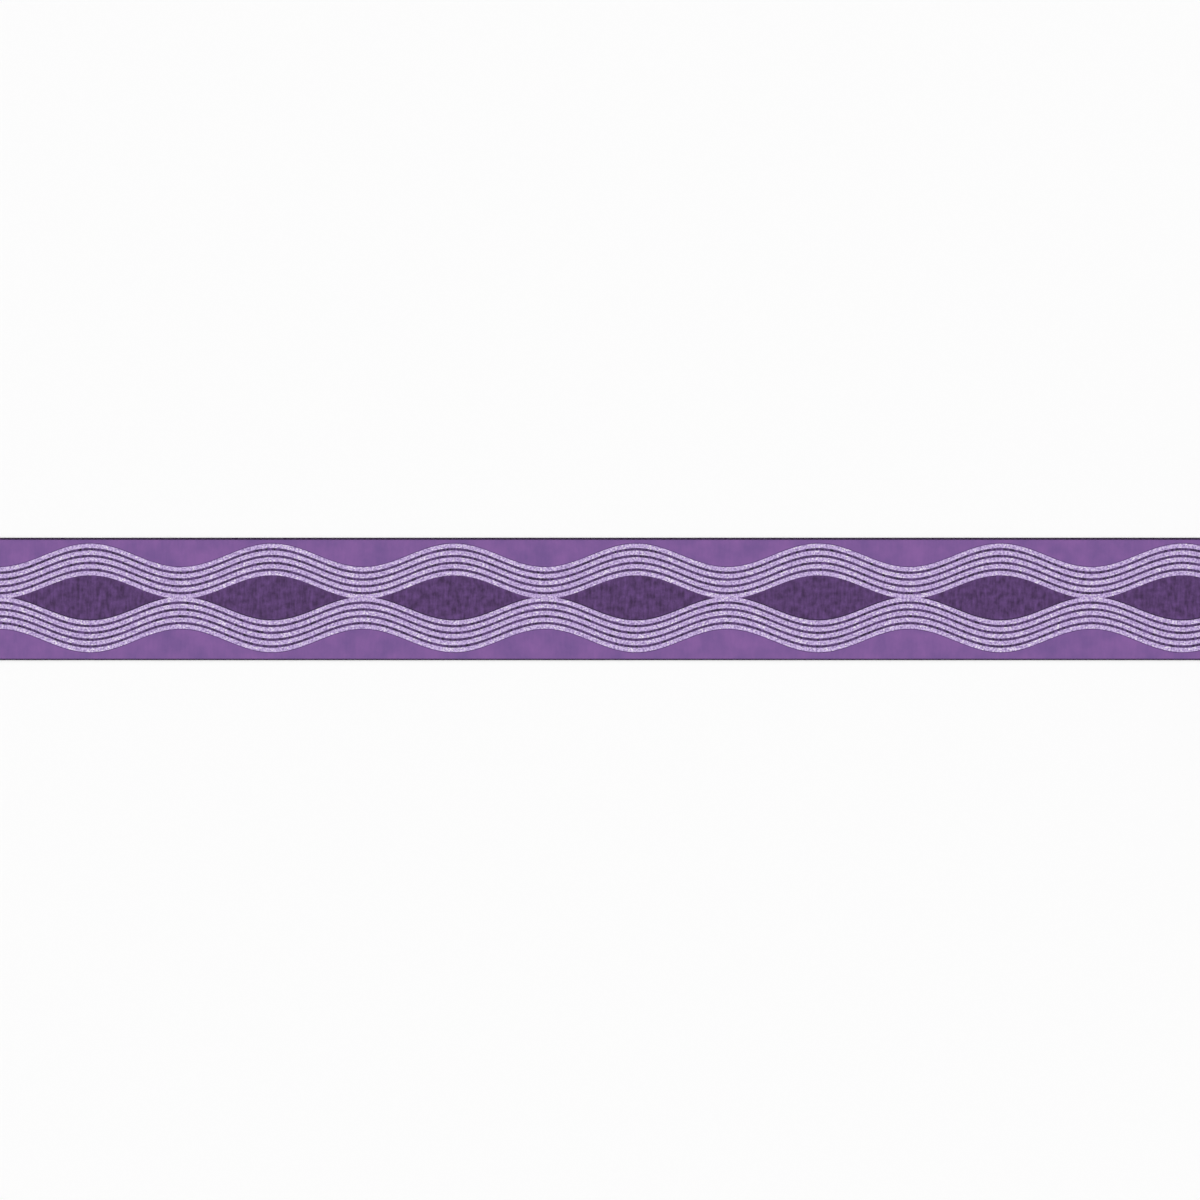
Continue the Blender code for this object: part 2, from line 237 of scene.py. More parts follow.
def bundle(middle):
    # edges of each line, and two points between them that carry its relief
    found = []
    for i in range(pattern["lines"]):
        top = middle + (0.5 * (pattern["lines"] - 1) - i) * pattern["pitch"] + 0.5 * pattern["line"]
        found += [top, top - 0.25 * pattern["line"], top - 0.75 * pattern["line"], top - pattern["line"]]
    return found


def patternEdges(along):
    # where each row of cloth begins across the width, from the top edge down
    wave = cos(tau * (ribbonStart + along - shownMiddle - pattern["phase"]) / pattern["period"])
    upper = bundle(pattern["upperMiddle"] + pattern["upperSwing"] * wave)
    lower = bundle(pattern["lowerMiddle"] - pattern["lowerSwing"] * wave)
    least = 0.02 * mm
    between = 0.5 * (upper[-1] + lower[0])
    upper[-1] = max(upper[-1], between + least)  # the inner lines run together where the bundles meet
    lower[0] = min(lower[0], between - least)
    # the row along the lens's lower edge is painted shade; the row along its upper edge is plain lens
    thin = min(pattern["shade"], 0.3 * (upper[-1] - lower[0]))
    half = 0.5 * ribbon["width"]
    rows = [half, half - pattern["edge"], upper[0] + pattern["outline"], *upper]
    rows += [upper[-1] - thin, lower[0] + thin, *lower, lower[-1] - pattern["outline"]]
    return rows + [pattern["edge"] - half, -half]


def plainEdges(along):
    half = 0.5 * ribbon["width"]
    return [half, half - pattern["edge"], 0.0, pattern["edge"] - half, -half]


# what each row is made of: 0 ground, 1 lens, 2 line, 3 gap, 4 selvedge, 5 outline, 6 painted shade along the
# lens's lower edge
lineRows = [2, 2, 2, 3] * (pattern["lines"] - 1) + [2, 2, 2]
patternKinds = [4, 0, 5, *lineRows, 1, 1, 6, *lineRows, 5, 0, 4]
lineRelief = [0, 1, 1, 0] * pattern["lines"]
patternRelief = [0, 0, 0, *lineRelief, 0, 0, *lineRelief, 0, 0, 0]


def clothGrid(start, end, step, place, patterned=True):
    # a grid of cloth whose rows follow the pattern's own edges, with its own map in metres
    rows = patternEdges if patterned else plainEdges
    kinds = patternKinds if patterned else [4, 0, 0, 4]
    relief = patternRelief if patterned else [0] * 5
    columns = max(2, round((end - start) / step))
    shape = bmesh.new()
    bmesh.ops.create_grid(shape, x_segments=columns, y_segments=len(kinds), size=1.0)
    cloth = shape.loops.layers.uv.new("cloth")
    edges = [rows(start + (end - start) * i / columns) for i in range(columns + 1)]
    spots = {}
    for vert in shape.verts:
        column = round((vert.co.x + 1) / 2 * columns)
        row = round((1 - vert.co.y) / 2 * len(kinds))
        spots[vert] = (start + (end - start) * column / columns, edges[column][row], row)
    for face in shape.faces:
        face.material_index = kinds[min(spots[vert][2] for vert in face.verts)]
        for loop in face.loops:
            loop[cloth].uv = spots[loop.vert][:2]
    for vert, (along, across, row) in spots.items():
        vert.co = place(along, across, pattern["relief"] * relief[row])
    return shape


def addThickness(piece, thickness):
    wall = piece.modifiers.new("cloth", "SOLIDIFY")
    wall.thickness = thickness
    wall.offset = 0.0
    return piece


# woven polyester satin: the eye sees soft patches where the print took more or less dye, and
# faint streaks along the weft, drawn about 1 mm apart because threads of 0.1 mm would not show
def makeSatin(name, light, dark, patch, streak, roughness, bump, streaky):
    made, tree, shader = startMaterial(name, Roughness=roughness, Specular_IOR_Level=0.2)
    own = addNode(tree, "UVMap", uv_map="cloth").outputs[0]
    patches = addNode(tree, "TexNoise", {"Scale": 1 / patch, "Detail": 3.0, "Roughness": 0.55}, {"Vector": own})
    weft = addNode(tree, "Mapping", {"Scale": (1 / streak, 0.18 / streak, 1.0)}, {"Vector": own})
    streaks = addNode(tree, "TexNoise", {"Scale": 1.0, "Detail": 2.0}, {"Vector": weft.outputs[0]})
    both = addNode(tree, "Mix", {"Factor": streaky}, {"A": patches.outputs["Fac"], "B": streaks.outputs["Fac"]})
    ramp = addNode(tree, "ValToRGB", None, {"Fac": both.outputs["Result"]}, [(0.35, dark), (0.65, light)])
    tree.links.new(ramp.outputs["Color"], shader.inputs["Base Color"])
    rough = addNode(tree, "MapRange", {"To Min": roughness - 0.06, "To Max": roughness + 0.06},
                    {"Value": streaks.outputs["Fac"]})
    tree.links.new(rough.outputs[0], shader.inputs["Roughness"])
    fine = addNode(tree, "Bump", {"Strength": bump, "Distance": 0.05 * mm}, {"Height": streaks.outputs["Fac"]})
    tree.links.new(fine.outputs[0], shader.inputs["Normal"])
    return made


# lurex yarn, a flat metallised film twisted round a lavender thread: its glints are painted into the colour as
# pale specks, on spots made glossier and raised, drawn about 1 mm apart, coarser than its own 0.4 mm, so that
# they show
def makeLurex(name, paintedGlintColour, middle, dark):
    made, tree, shader = startMaterial(name, Roughness=0.42, Specular_IOR_Level=0.3)
    own = addNode(tree, "UVMap", uv_map="cloth").outputs[0]
    slanted = addNode(tree, "Mapping", {"Rotation": (0, 0, 0.6), "Scale": (1 / (1.1 * mm), 1 / (0.7 * mm), 1)},
                      {"Vector": own})
    film = addNode(tree, "TexVoronoi", {"Scale": 1.0, "Randomness": 1.0}, {"Vector": slanted.outputs[0]})
    specks = addNode(tree, "MapRange", {"From Min": 0.1, "From Max": 0.5, "To Min": 1.0, "To Max": 0.0},
                     {"Value": film.outputs["Distance"]})
    groups = addNode(tree, "TexNoise", {"Scale": 1 / (4.5 * mm), "Detail": 2.0}, {"Vector": own})
    often = addNode(tree, "MapRange", {"From Min": 0.38, "From Max": 0.62, "To Min": 0.2, "To Max": 1.0},
                    {"Value": groups.outputs["Fac"]})
    filmAndPaintedGlint = addNode(tree, "Math", None, {0: specks.outputs[0], 1: often.outputs[0]}, operation="MULTIPLY")
    yarn = addNode(tree, "TexNoise", {"Scale": 1 / (0.8 * mm), "Detail": 2.0}, {"Vector": own})
    tone = addNode(tree, "ValToRGB", None, {"Fac": yarn.outputs["Fac"]}, [(0.36, dark), (0.6, middle)])
    # painted highlight: the specks are mixed towards a near-white glint colour
    paintedGlintMix = addNode(tree, "MixRGB", {"Color2": linear(paintedGlintColour)},
                  {"Fac": filmAndPaintedGlint.outputs[0], "Color1": tone.outputs["Color"]})
    tree.links.new(paintedGlintMix.outputs[0], shader.inputs["Base Color"])
    rough = addNode(tree, "MapRange", {"To Min": 0.5, "To Max": 0.22}, {"Value": filmAndPaintedGlint.outputs[0]})
    tree.links.new(rough.outputs[0], shader.inputs["Roughness"])
    fine = addNode(tree, "Bump", {"Strength": 0.4, "Distance": 0.08 * mm}, {"Height": filmAndPaintedGlint.outputs[0]})
    tree.links.new(fine.outputs[0], shader.inputs["Normal"])
    return made


groundSatin = makeSatin("printedSatinGround", "#845A9B", "#70508E", 11 * mm, 1.1 * mm, 0.5, 0.2, 0.2)
lensSatin = makeSatin("printedSatinLens", "#63427C", "#3A214A", 3 * mm, 1.0 * mm, 0.55, 0.3, 0.4)
gapSatin = makeSatin("printedSatinGap", "#6C4E88", "#04000A", 1.3 * mm, 1.0 * mm, 0.6, 0.2, 0.55)
selvedge = makeSatin("wovenSelvedge", "#3A2447", "#2B1A35", 2 * mm, 0.6 * mm, 0.6, 0.5, 0.4)
outlineSatin = makeSatin("printedSatinOutline", "#6B4A84", "#51386A", 3 * mm, 1.1 * mm, 0.55, 0.2, 0.3)
# painted shade: a dark band along the lens's lower edge only, where shade falls beside the raised lower lines
paintedShadeSatin = makeSatin("satinPaintedLensShade", "#3B2450", "#2E1B3D", 3 * mm, 1.1 * mm, 0.55, 0.2, 0.3)
# the first colour is the painted glint
lurexLine = makeLurex("lurexWovenLine", "#FFF8FF", "#CDB5E6", "#8B73A8")
ribbonMaterials = [groundSatin, lensSatin, lurexLine, gapSatin, selvedge, outlineSatin, paintedShadeSatin]


def addStretch(name, start, end, step, node, place=ribbonPoint, patterned=True, under=False):
    shape = clothGrid(start, end, step, place, patterned)
    if under:
        bmesh.ops.reverse_faces(shape, faces=shape.faces)
    piece = addPiece(name, shape, ribbonMaterials, "ribbon", [node], smooth=180)
    addThickness(piece, ribbon["thickness"])
    rests = "ribbon_doubled" if name == "ribbon_flat" else "floor"
    return piece, (ribbon["width"], end - start), rests


def underPoint(along, across, lift):
    # the doubled end, folded back beneath, a hair to one side of the cloth above it
    return Vector((ribbonStart + along, across + ribbon["underShift"], 0.5 * (ribbon["thickness"] - lift)))


rollFrom = flatLength
outerTo = rollFrom + ribbon["outerTurns"] * tau * rollOuter
rollTo = rollFrom + rolledLength
coreFrom = rollTo - tau * ribbon["core"]
sheets = [
    addStretch("ribbon_flat", 0.0, flatLength, ribbon["step"], "ribbon_run"),
    addStretch("ribbon_doubled", 0.0, doubledLength, ribbon["underStep"], "ribbon_doubling", underPoint,
               under=True),
    addStretch("ribbon_outer_turn", rollFrom, outerTo, ribbon["step"], "ribbon_roll"),
    addStretch("ribbon_inner_turns", outerTo, coreFrom, ribbon["innerStep"], "ribbon_roll", patterned=False),
    addStretch("ribbon_core_turn", coreFrom, rollTo, ribbon["step"], "ribbon_roll"),
]
print("ribbon made, its turns", round(rollPitch / mm, 4), "mm apart")


# pointed end: the ribbon's corners folded under and stitched down round the eyelet

tab = {
    "step": 0.75 * mm,
    "tipRadius": 6.0 * mm,
    "flap": 3.0 * mm,
    "halfThin": 0.13 * mm,  # half the pile's height where it becomes the ribbon
    "halfThick": 0.4 * mm,  # and at the eyelet, with the corners folded in
    "levelTo": 8.0 * mm,  # from the eyelet, over which it lies level
    "planes": 15,
    "hole": 2.8 * mm,
    "flapsPast": 4.5 * mm,  # from the hole's middle, past which an open edge is folded under
    "liningInset": 0.6 * mm,
    "liningInside": 0.2 * mm,  # how far the lower cloth lies inside the fold
    "liningThickness": 0.16 * mm,
}
tabLength = ribbonStart - eyeletMiddle.x
tabSide = atan2(0.5 * ribbon["width"], tabLength) + pi / 2 - asin(
    tab["tipRadius"] / sqrt(tabLength**2 + (0.5 * ribbon["width"])**2))  # angle of the straight side's normal


def tabHeights(x):
    # middle of the pile, half its height and how far the lower cloth lies inside it
    run = ease((ribbonStart - x) / (tabLength - tab["levelTo"]))
    fold = ease(3 * (ribbonStart - x) / tabLength)
    low = 0.5 * (ribbon["overDoubled"] + 0.5 * ribbon["thickness"])
    half = tab["halfThin"] + (tab["halfThick"] - tab["halfThin"]) * fold
    return low + (axisHeight - low) * run, half, tab["liningInside"] * fold


def outlineNormal(spot):
    # straight sides that run into a round tip about the eyelet
    away = spot - eyeletMiddle
    angle = atan2(away.y, away.x)
    angle = max(angle, tabSide) if angle >= 0 else min(angle, -tabSide)
    return Vector((cos(angle), sin(angle), 0.0))


def flatPoint(along, across, lift):
    return Vector((ribbonStart + along, across, lift))


def tabCloth(inset):
    shape = clothGrid(-(tabLength + tab["tipRadius"]), 0.0, tab["step"], flatPoint)
    for i in range(-12, 13):  # the lens needs rows of its own, to bend and to take the hole
        bmesh.ops.bisect_plane(shape, geom=[*shape.verts, *shape.edges, *shape.faces], dist=0.01 * mm,
                               plane_co=(0, i * tab["step"], 0), plane_no=(0, 1, 0))
    for i in range(tab["planes"]):
        angle = tabSide + (tau - 2 * tabSide) * i / (tab["planes"] - 1)
        normal = Vector((cos(angle), sin(angle), 0.0))
        edge = Vector((eyeletMiddle.x, 0.0, 0.0)) + normal * (tab["tipRadius"] - inset)
        geometry = [*shape.verts, *shape.edges, *shape.faces]
        bmesh.ops.bisect_plane(shape, geom=geometry, plane_co=edge, plane_no=normal, clear_outer=True,
                               dist=0.01 * mm)
    middle = Vector((eyeletMiddle.x, 0.0, 0.0))
    holed = [face for face in shape.faces if (face.calc_center_median() - middle).length < tab["hole"]]
    bmesh.ops.delete(shape, geom=holed, context="FACES")
    return shape


def addTabCloth():
    shape = tabCloth(0.0)
    depth = {vert: (1.0, vert.co.z) for vert in shape.verts}
    middle = Vector((eyeletMiddle.x, 0.0, 0.0))
    rim = [edge for edge in shape.edges if edge.is_boundary and max(
        (vert.co - middle).length for vert in edge.verts) > tab["flapsPast"] and min(
        vert.co.x for vert in edge.verts) < ribbonStart - 0.01 * mm]
    for turn, inward in ((45, 0), (90, 0), (135, 0), (180, 0), (180, tab["flap"])):
        grown = bmesh.ops.extrude_edge_only(shape, edges=rim)["geom"]
        rim = [part for part in grown if isinstance(part, bmesh.types.BMEdge) and part.is_boundary
               and all(vert not in depth for vert in part.verts)]
        for vert in {part for part in grown if isinstance(part, bmesh.types.BMVert)}:
            half = tabHeights(vert.co.x)[1]
            step = half * (sin(radians(turn)) - sin(radians(turn - 45))) if not inward else -inward
            vert.co += outlineNormal(vert.co) * step
            depth[vert] = (cos(radians(turn)), 0.0)
    for vert, (share, lift) in depth.items():
        height, half, _ = tabHeights(vert.co.x)
        vert.co.z = height + half * share + lift
    piece = addPiece("tab_cloth", shape, ribbonMaterials, "ribbon", ["end_tab"], smooth=180)
    return addThickness(piece, ribbon["thickness"])


def addTabLining():
    # the doubled layer under the folded corners
    shape = tabCloth(tab["liningInset"])
    for vert in shape.verts:
        height, half, inside = tabHeights(vert.co.x)
        vert.co.z = height - half + inside
    bmesh.ops.reverse_faces(shape, faces=shape.faces)
    piece = addPiece("tab_lining", shape, ribbonMaterials, "ribbon", ["end_tab"], smooth=180)
    return addThickness(piece, tab["liningThickness"])


tabPiece = addTabCloth()
liningPiece = addTabLining()


# stitches: lockstitch rows, each stitch a short padded hump of thread

stitch = {
    "length": 1.9 * mm,
    "pitch": 2.5 * mm,
    "wide": 0.46 * mm,
    "high": 0.28 * mm,
    "fromEdge": 0.45 * mm,
    "tabRows": (1.1 * mm, 2.9 * mm),  # in from the folded edge
    "tabCross": 1.5 * mm,
    "endRows": (3.0 * mm, 6.0 * mm),  # back from the doubled layer's end
    "crossReach": 23.5 * mm,
    "roundFrom": 4.9 * mm,  # a row of this radius or more runs on round the eyelet
    "stopShort": 4.0 * mm,
}


# spun polyester thread, dyed to match: two plies twisted together show as slanting bands, raised by the bump
# and painted lighter on their crests and darker in the grooves, as painted light and shade
def makeThread(name, light, dark):
    made, tree, shader = startMaterial(name, Roughness=0.6, Specular_IOR_Level=0.3, Sheen_Weight=0.2)
    own = addNode(tree, "TexCoord").outputs["Object"]
    pliesAndPaintedShade = addNode(tree, "TexWave", {"Scale": 1 / (0.9 * mm), "Distortion": 1.0, "Detail": 1.0},
                    {"Vector": own}, bands_direction="DIAGONAL")
    # painted light and shade: the ramp's dark end falls in the grooves between plies, its light end on their
    # crests
    ramp = addNode(tree, "ValToRGB", None, {"Fac": pliesAndPaintedShade.outputs["Fac"]}, [(0.1, dark), (0.9, light)])
    tree.links.new(ramp.outputs["Color"], shader.inputs["Base Color"])
    fine = addNode(tree, "Bump", {"Strength": 0.4, "Distance": 0.05 * mm}, {"Height": pliesAndPaintedShade.outputs["Fac"]})
    tree.links.new(fine.outputs[0], shader.inputs["Normal"])
    return made


edgeThread = makeThread("spunThreadDark", "#4E3664", "#3A2650")
tabThread = makeThread("spunThreadLavender", "#D9C9EA", "#A892C2")


def addStitches(name, places, material):
    # places are (point, direction) pairs on the cloth's upper face
    shape = bmesh.new()
    for point, way in places:
        across = Vector((0, 0, 1)).cross(way).normalized()
        turn = Matrix((way, across, way.cross(across))).transposed().to_4x4()
        size = Matrix.Diagonal((0.5 * stitch["length"], 0.5 * stitch["wide"], 0.5 * stitch["high"], 1.0))
        bmesh.ops.create_uvsphere(shape, u_segments=6, v_segments=5, radius=1.0,
                                  matrix=Matrix.Translation(point) @ turn @ size)
    return addPiece(name, shape, [material], "ribbon", (), smooth=180)


def rowAlong(placeAt, start, end):
    # stitches at an even pitch along a row whose points placeAt(s) gives
    count = int((end - start) / stitch["pitch"])
    found = []
    for i in range(count):
        s = start + (i + 0.5) * (end - start) / count
        point = placeAt(s)
        found.append((point, (placeAt(s + 0.2 * mm) - point).normalized()))
    return found


def tabRow(inset, side):
    # from the wide end along one straight side and round to the middle of the tip
    radius = tab["tipRadius"] - inset
    normal = Vector((cos(tabSide), side * sin(tabSide), 0.0))
    along = Vector((sin(tabSide), -side * cos(tabSide), 0.0))
    straight = (ribbonStart - eyeletMiddle.x - normal.x * radius) / along.x

    def placeAt(s):
        if s < straight:
            spot = eyeletMiddle + normal * radius + along * (straight - s)
        else:
            angle = tabSide + (s - straight) / radius
            spot = eyeletMiddle + Vector((cos(angle), side * sin(angle), 0.0)) * radius
        height, half, _ = tabHeights(spot.x)
        spot.z = height + half + 0.55 * ribbon["thickness"]
        return spot
    length = straight + (radius * (pi - tabSide) if radius > stitch["roundFrom"] else -stitch["stopShort"])
    return rowAlong(placeAt, 1.0 * mm, length)


def crossRow(along):
    reach = stitch["crossReach"]
    return rowAlong(lambda s: ribbonPoint(along, s, 0.55 * ribbon["thickness"]), -reach, reach)


edgeLine = 0.5 * ribbon["width"] - stitch["fromEdge"]
edgeRows = [row for side in (1, -1) for row in rowAlong(
    lambda s: ribbonPoint(s, side * edgeLine, 0.5 * ribbon["thickness"]), 1 * mm, doubledLength - 2 * mm)]
edgeStitches = addStitches("edge_stitches", edgeRows, edgeThread)
endRows = [row for back in stitch["endRows"] for row in crossRow(doubledLength - back)]
endStitches = addStitches("end_stitches", endRows, edgeThread)
tabRows = [row for inset in stitch["tabRows"] for side in (1, -1) for row in tabRow(inset, side)]
tabStitches = addStitches("tab_stitches", tabRows + crossRow(stitch["tabCross"]), tabThread)

for piece, flat, rests in sheets:
    held = {"ribbon_flat": [edgeStitches, endStitches]}.get(piece.name, [])
print("pointed end and stitches made")


# metal finishes

# nickel plate on cast zinc and brass, tumbled bright: it mirrors softly, with hazy patches from
# handling and fine scratches, drawn 0.5 mm apart because real ones are a few hundredths wide
def makeNickel():
    made, tree, shader = startMaterial("nickelPlateTumbled", Metallic=1.0, Roughness=0.2)
    own = addNode(tree, "TexCoord").outputs["Object"]
    haze = addNode(tree, "TexNoise", {"Scale": 1 / (2.5 * mm), "Detail": 4.0}, {"Vector": own})
    tone = addNode(tree, "ValToRGB", None, {"Fac": haze.outputs["Fac"]}, [(0.3, "#C4BEB4"), (0.7, "#DDD8CF")])
    tree.links.new(tone.outputs["Color"], shader.inputs["Base Color"])
    rough = addNode(tree, "MapRange", {"From Min": 0.3, "From Max": 0.7, "To Min": 0.14, "To Max": 0.3},
                    {"Value": haze.outputs["Fac"]})
    tree.links.new(rough.outputs[0], shader.inputs["Roughness"])
    stretched = addNode(tree, "Mapping", {"Rotation": (0.4, 0.3, 0.6), "Scale": (2000.0, 220.0, 2000.0)},
                        {"Vector": own})
    scratches = addNode(tree, "TexNoise", {"Scale": 1.0, "Detail": 2.0}, {"Vector": stretched.outputs[0]})
    fine = addNode(tree, "Bump", {"Strength": 0.12, "Distance": 0.02 * mm},
                   {"Height": scratches.outputs["Fac"]})
    tree.links.new(fine.outputs[0], shader.inputs["Normal"])
    return made


# spring steel wire, drawn through a die: darker than the plate, with fine lengthwise draw marks
def makeSpringSteel():
    made, tree, shader = startMaterial("springSteelDrawn", Metallic=1.0, Roughness=0.3)
    own = addNode(tree, "TexCoord").outputs["Object"]
    marks = addNode(tree, "TexNoise", {"Scale": 1 / (0.3 * mm), "Detail": 3.0}, {"Vector": own})
    tone = addNode(tree, "ValToRGB", None, {"Fac": marks.outputs["Fac"]}, [(0.3, "#8A8B8F"), (0.7, "#B0B1B4")])
    tree.links.new(tone.outputs["Color"], shader.inputs["Base Color"])
    rough = addNode(tree, "MapRange", {"To Min": 0.22, "To Max": 0.42}, {"Value": marks.outputs["Fac"]})
    tree.links.new(rough.outputs[0], shader.inputs["Roughness"])
    return made


nickelPlate = makeNickel()
springSteel = makeSpringSteel()


# eyelet: a rolled brass rim set against a washer

eyelet = {"bore": 2.3, "barrel": 2.7, "rim": 4.75, "under": 0.52, "crown": 0.95}


def eyeletRim():
    low, high = eyelet["under"], eyelet["crown"]
    outer = eyelet["rim"]
    profile = [(-high + 0.1, eyelet["bore"]), (-high, eyelet["bore"] + 0.2), (-high + 0.1, eyelet["barrel"]),
               (low, eyelet["barrel"]), (low, outer - 0.15), (low + 0.06, outer), (low + 0.16, outer - 0.03),
               (high - 0.08, outer - 0.6), (high, outer - 1.1), (high, eyelet["bore"] + 0.95),
               (high - 0.12, eyelet["bore"] + 0.4), (high - 0.4, eyelet["bore"] + 0.06),
               (high - 0.7, eyelet["bore"])]
    return turned(profile, eyeletMiddle, "Z", 64, closed=True)


def eyeletWasher():
    low, high = -eyelet["under"], -eyelet["crown"]
    inner, outer = eyelet["barrel"] + 0.15, eyelet["rim"]
    profile = [(low, inner), (high + 0.05, inner), (high, inner + 0.2), (high, outer - 1.0),
               (high + 0.1, outer - 0.5), (low - 0.12, outer), (low, outer - 0.08)]
    return turned(profile, eyeletMiddle, "Z", 64, closed=True)


addPiece("eyelet_rim", eyeletRim(), [nickelPlate], "ribbon", ["eyelet"], smooth=180)
addPiece("eyelet_back", eyeletWasher(), [nickelPlate], "ribbon", ["eyelet_washer"])


# snap hook: cast body with a round swivel barrel, sprung gate and the pin it turns on

hook = {
    "bowOuter": 5.0,
    "thick": 2.4,
    "wide": 3.0,
    "corner": 0.75,
    "spine": 15.6,  # distances back from the middle of the bow
    "nose": 3.0,
    "pinBack": 13.6,
    "pinUp": 3.7,
    "barrel": (14.6, 18.6),
    "barrelRadius": 3.3,
    "post": 1.3,
    "half": 2.1,
    "slot": 1.3,
    "ridges": (8.75, 9.2, 9.65),
}
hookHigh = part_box("hook_body")[1]
bowMiddle = Vector((hookHigh.x - hook["bowOuter"] * mm, 0.0, axisHeight))


def pushFace(shape, face, step):
    # extrudes one face and gives back the one at its far end
    grown = bmesh.ops.extrude_face_region(shape, geom=[face])["geom"]
    bmesh.ops.translate(shape, verts=[part for part in grown if isinstance(part, bmesh.types.BMVert)], vec=step)
    return next(part for part in grown if isinstance(part, bmesh.types.BMFace))


def bevelled(shape, width, segments=4, edges=None):
    bmesh.ops.recalc_face_normals(shape, faces=shape.faces)
    sharp = edges or [edge for edge in shape.edges if edge.calc_face_angle(0.0) > radians(30)]
    bmesh.ops.bevel(shape, geom=sharp, offset=width * mm, offset_type="OFFSET", segments=segments, profile=0.5,
                    affect="EDGES", clamp_overlap=True, material=-1)
    return shape


def plateShape(outline, low, high, width=0.0):
    # an outline of (back, up) points in mm from the bow's middle, made a plate from low to high across
    shape = bmesh.new()
    face = shape.faces.new([shape.verts.new((-back * mm, low * mm, up * mm)) for back, up in outline])
    pushFace(shape, face, (0.0, (high - low) * mm, 0.0))
    bmesh.ops.recalc_face_normals(shape, faces=shape.faces)
    return bevelled(shape, width) if width else shape


def armShape():
    # one rounded section run along the spine, round the bow and back to the nose
    shape = bmesh.new()
    y, z, corner = 0.5 * hook["wide"], 0.5 * hook["thick"], hook["corner"]
    middle = hook["bowOuter"] - z
    section = roundedSection(y - corner, z - corner, corner)
    start = -hook["spine"]
    face = shape.faces.new([shape.verts.new((start * mm, u * mm, (v - middle) * mm)) for u, v in section])
    face = pushFace(shape, face, (hook["spine"] * mm, 0.0, 0.0))
    bend = bmesh.ops.spin(shape, geom=[face], cent=(0, 0, 0), axis=(0, 1, 0), angle=-pi, steps=28,
                          use_merge=False)["geom_last"]
    face = next(part for part in bend if isinstance(part, bmesh.types.BMFace))
    face = pushFace(shape, face, (-hook["nose"] * mm, 0.0, 0.0))
    return bevelled(shape, 0.3, 3, list(face.edges))


def bodyShape():
    back, half, slot = hook["barrel"][1], hook["half"], hook["slot"]
    foot = [(12.6, -hook["bowOuter"]), (back - 0.6, -hook["bowOuter"]), (back - 0.2, -2.2), (14.0, -2.2),
            (13.0, -2.7)]
    shoulder = [(15.3, 2.2), (back - 0.2, 2.2), (back - 0.6, hook["bowOuter"]), (15.3, hook["bowOuter"])]
    turn = [radians(a) for a in (90, 115, 140, 165, 190, 215, 240)]
    cheek = [(hook["pinBack"] + 1.45 * cos(a), hook["pinUp"] + 1.45 * sin(a)) for a in turn]
    cheek += [(14.0, 2.2), (16.5, 2.2), (16.5, hook["bowOuter"]), (14.6, hook["bowOuter"] + 0.1)]
    start, end = (-hook["barrel"][1], -hook["barrel"][0])
    wide, post = hook["barrelRadius"], hook["post"]
    barrel = [(start, post), (start, wide - 0.5), *roundCorner(start + 0.5, wide - 0.5, 0.5, 180, 90)]
    barrel += [*roundCorner(end - 0.5, wide - 0.5, 0.5, 90, 0), (end, post)]
    shape = together(armShape(), plateShape(foot, -half, half, 0.45), plateShape(shoulder, -half, half, 0.45),
                     plateShape(cheek, slot, half - 0.06, 0.18), plateShape(cheek, 0.06 - half, -slot, 0.18),
                     turned(barrel, (0, 0, 0), steps=48, closed=True))
    bmesh.ops.translate(shape, verts=shape.verts, vec=bowMiddle)
    return shape


def gateShape():
    # bar with a grooved thumb rest, and the tongue and ring that turn on the pin
    half = 0.5 * hook["wide"]
    bar = [(3.3, 2.7), (11.4, 2.7), (11.4, 4.8), (10.6, 5.1), (10.0, 6.3), (8.4, 6.3), (7.0, 5.0), (3.3, 5.0)]
    tongue = [(10.8, 2.8), (12.75, 2.8), (12.75, 4.6), (10.8, 4.6)]
    eye = turned([(-0.6, 0.8), (-0.6, 1.15), (0.6, 1.15), (0.6, 0.8)], (0, 0, 0), steps=28, closed=True)
    bmesh.ops.rotate(eye, verts=eye.verts, matrix=Matrix.Rotation(pi / 2, 3, "Z"))
    bmesh.ops.translate(eye, verts=eye.verts, vec=(-hook["pinBack"] * mm, -0.4 * mm, hook["pinUp"] * mm))
    ridges = []
    for back in hook["ridges"]:
        outline = [(back - 0.16, 6.2), (back + 0.16, 6.2), (back + 0.05, 6.5), (back - 0.05, 6.5)]
        ridges.append(plateShape(outline, -1.3, 1.3))
    shape = together(plateShape(bar, -half, half, 0.35), plateShape(tongue, -1.0, 0.2, 0.1), eye, *ridges)
    bmesh.ops.translate(shape, verts=shape.verts, vec=bowMiddle)
    return shape


def gatePin():
    # a plain shank with a peened dome at each end
    half = 0.5 * (pinHigh.y - pinLow.y) / mm
    shank = 0.5 * (pinHigh.x - pinLow.x) / mm
    profile = [(-half - 0.14, 0.0), (-half - 0.1, 0.4), (-half, shank + 0.12), (0.08 - half, shank)]
    profile += [(-x, r) for x, r in reversed(profile)]
    shape = turned(profile, (0, 0, 0), steps=32)
    bmesh.ops.rotate(shape, verts=shape.verts, matrix=Matrix.Rotation(pi / 2, 3, "Z"))
    bmesh.ops.translate(shape, verts=shape.verts, vec=0.5 * (pinLow + pinHigh))
    return shape


addPiece("hook_cast_body", bodyShape(), [nickelPlate], "hook", ["hook_body"], smooth=35)
addPiece("hook_gate_lever", gateShape(), [nickelPlate], "gate", ["hook_gate"], smooth=35)
addPiece("gate_pin_peened", gatePin(), [springSteel], "hook", ["gate_pin"])


# swivel eyes and the split ring between them

swivel = {"hole": 2.0, "outer": 3.5, "half": 0.9, "edge": 0.55, "neck": 1.0}
splitRing = {"wire": 0.62, "high": 1.1, "corner": 0.2, "spread": 0.33 * mm, "cross": 60}


